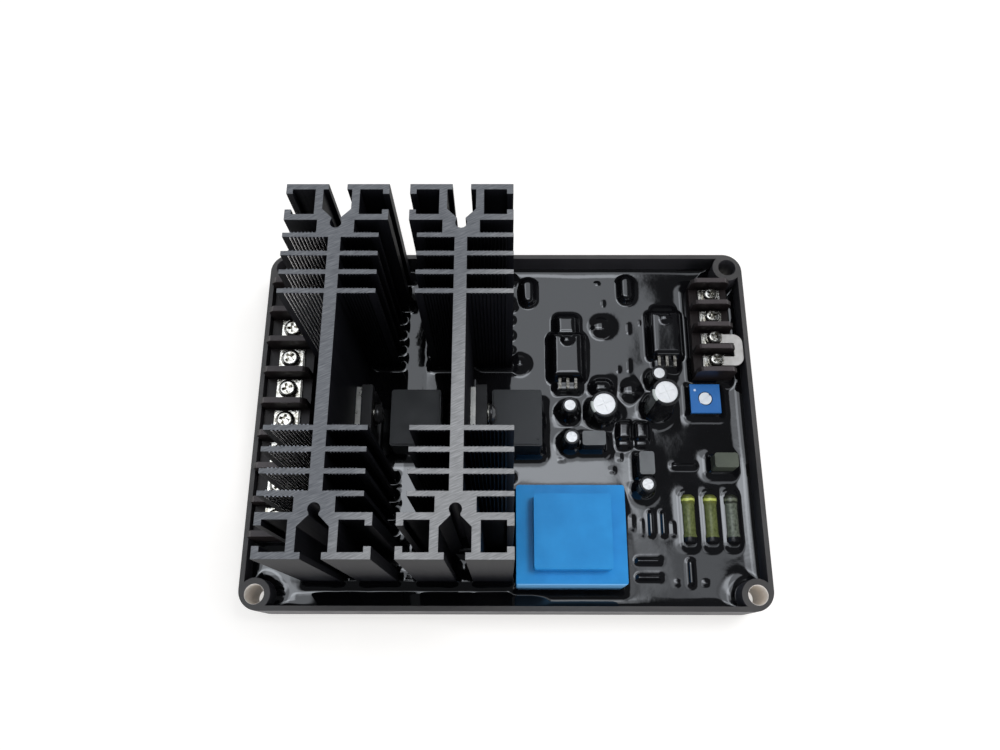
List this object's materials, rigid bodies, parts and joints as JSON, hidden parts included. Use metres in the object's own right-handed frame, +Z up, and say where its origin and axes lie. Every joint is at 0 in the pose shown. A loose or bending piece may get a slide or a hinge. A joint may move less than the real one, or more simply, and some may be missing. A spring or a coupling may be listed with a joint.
{
  "type": "automatic voltage regulator",
  "caption": "Potted generator voltage regulator: shallow tray of black resin with tall finned heatsinks, screw terminal strips, relays, a blue transformer and a trimmer.",
  "frame": {"origin": "centre of the tray's underside", "axes": "+Z up from the tray's underside, +X along its long side towards the short terminal strip, +Y to the rear edge"},
  "size_m": [0.155, 0.114, 0.066],
  "materials": {
    "tray_plastic": "moulded black, matte, greyish on the rim",
    "board_laminate": "green solder mask, under the resin",
    "potting_resin": "glossy black poured resin",
    "black_anodised": "black anodised sides, grey sawn ends",
    "package_epoxy": "moulded epoxy",
    "tinned_metal": "tinned",
    "black_steel": "blackened",
    "nickel": "nickel plated",
    "strip_plastic": "moulded brownish black",
    "relay_plastic": "moulded dark grey",
    "transformer_blue": "satin blue",
    "trimmer_blue": "blue moulding",
    "rotor_white": "white",
    "can_aluminium": "bare stamped aluminium",
    "black_sleeve": "shrunk sleeve",
    "film_case": "grey brown moulding",
    "dipped_coat": "coated over by the resin",
    "resistor_lacquer": "olive lacquer"
  },
  "bodies": {
    "regulator": {"tray": "tray_plastic", "circuit_board": "board_laminate", "potting": "potting_resin", "heatsink_left": "black_anodised", "heatsink_right": "black_anodised", "device_left_body": "package_epoxy", "device_left_leadframe": "tinned_metal", "device_right_body": "package_epoxy", "device_right_leadframe": "tinned_metal", "device_screws": "black_steel", "device_washers": "nickel", "device_nuts": "nickel", "left_strip_body": "strip_plastic", "left_strip_contacts": "tinned_metal", "left_strip_clamps": "nickel", "left_strip_screws": "nickel", "right_strip_body": "strip_plastic", "right_strip_contacts": "tinned_metal", "right_strip_clamps": "nickel", "right_strip_screws": "nickel", "terminal_link": "tinned_metal", "relay_left_cover": "relay_plastic", "relay_left_base": "relay_plastic", "relay_right_cover": "relay_plastic", "relay_right_base": "relay_plastic", "transformer": "transformer_blue", "trimmer_body": "trimmer_blue", "middle_capacitor_can": "can_aluminium", "middle_capacitor_sleeve": "black_sleeve", "tall_capacitor_can": "can_aluminium", "tall_capacitor_sleeve": "black_sleeve", "small_capacitor_cans": "can_aluminium", "small_capacitor_sleeves": "black_sleeve", "film_capacitor_middle": "film_case", "film_capacitor_front": "film_case", "film_capacitor_right": "film_case", "film_capacitor_rear": "film_case", "dipped_capacitor_left": "dipped_coat", "dipped_capacitor_right": "dipped_coat", "disc_left": "dipped_coat", "disc_rear": "dipped_coat", "disc_right": "dipped_coat", "transistor_left_body": "package_epoxy", "transistor_left_leadframe": "tinned_metal", "transistor_right_body": "package_epoxy", "transistor_right_leadframe": "tinned_metal", "diode_left": "package_epoxy", "diode_right": "package_epoxy", "diode_wires": "tinned_metal", "power_resistor_left": "resistor_lacquer", "power_resistor_middle": "resistor_lacquer", "power_resistor_right": "resistor_lacquer", "power_resistor_wires": "tinned_metal", "small_resistors": "dipped_coat", "small_resistor_wires": "tinned_metal"},
    "rotor": {"trimmer_rotor": "rotor_white"}
  },
  "joints": [
    {"name": "trimmer_turn", "type": "hinge", "parent": "regulator", "child": "rotor", "pos_m": [0.0637, 0.00899, 0.01], "axis": [0, 0, 1], "range_deg": [-135, 135]}
  ]
}
